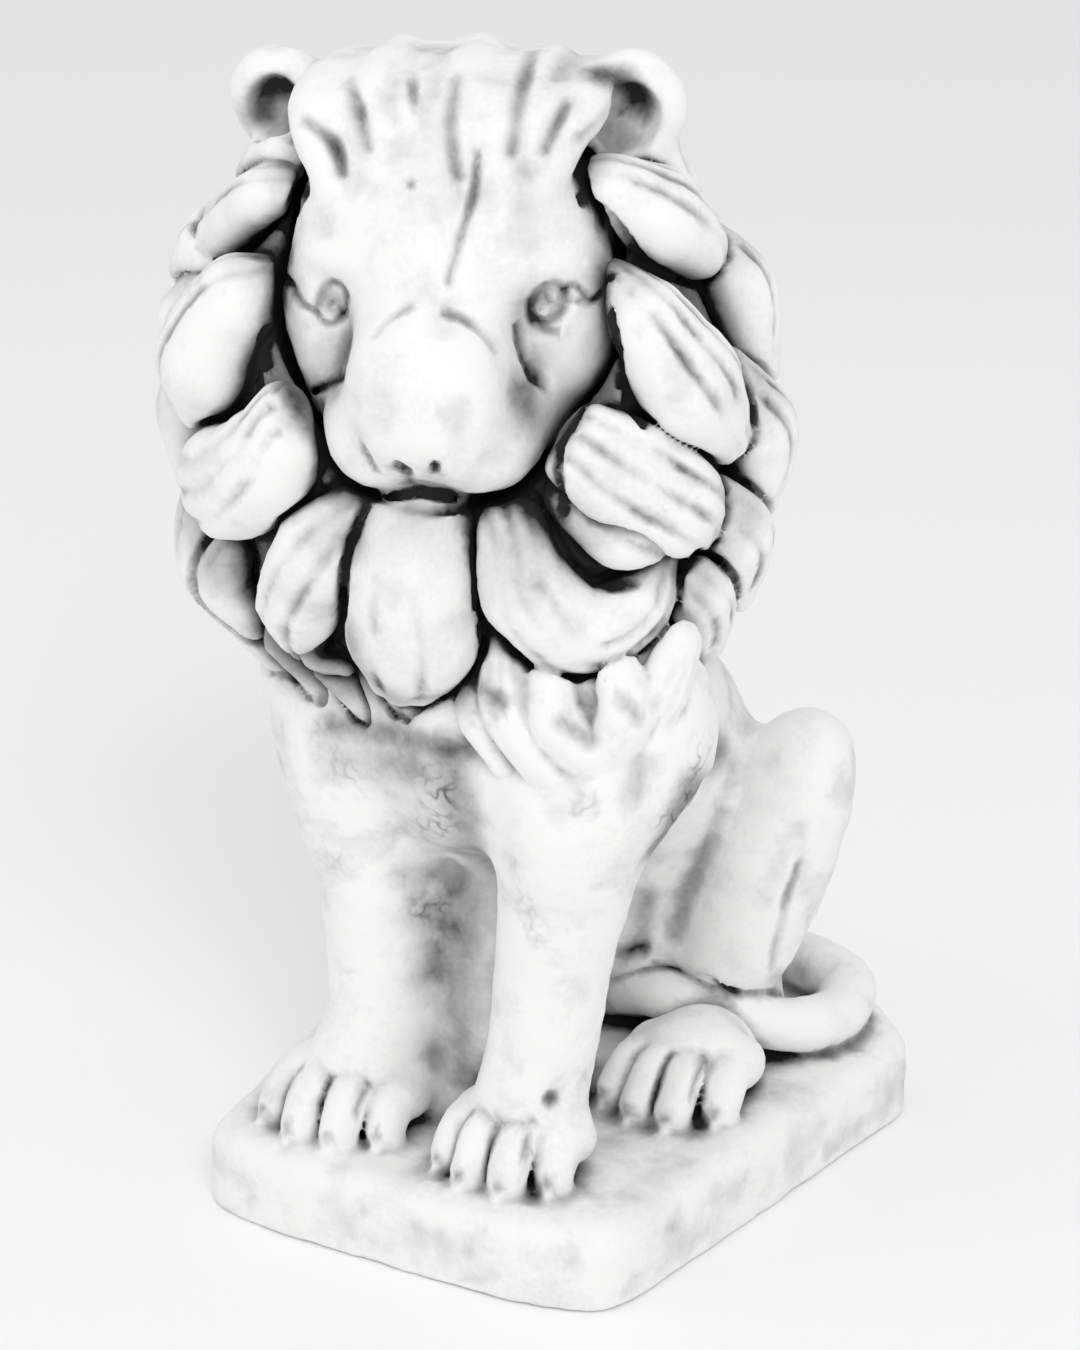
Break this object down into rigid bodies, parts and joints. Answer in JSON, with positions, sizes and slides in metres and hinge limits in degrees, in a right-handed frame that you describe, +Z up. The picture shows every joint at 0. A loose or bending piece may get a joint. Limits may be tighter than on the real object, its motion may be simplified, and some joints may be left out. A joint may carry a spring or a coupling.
{
  "type": "lion statue",
  "caption": "Seated lion in pale cast stone with its head turned and its tail round a hind foot, carved in one piece with a low cut-cornered plinth, for a garden or a step.",
  "frame": {"origin": "the middle of the plinth's underside", "axes": "+Z is up, the lion faces -Y, and +X is towards the lion's left side"},
  "size_m": [0.2749, 0.3059, 0.5089],
  "materials": {
    "cast_stone": "matt off-white cast stone, with dark grey antiquing in the recesses"
  },
  "bodies": {
    "root": {"lion_statue": "cast_stone"}
  },
  "joints": []
}
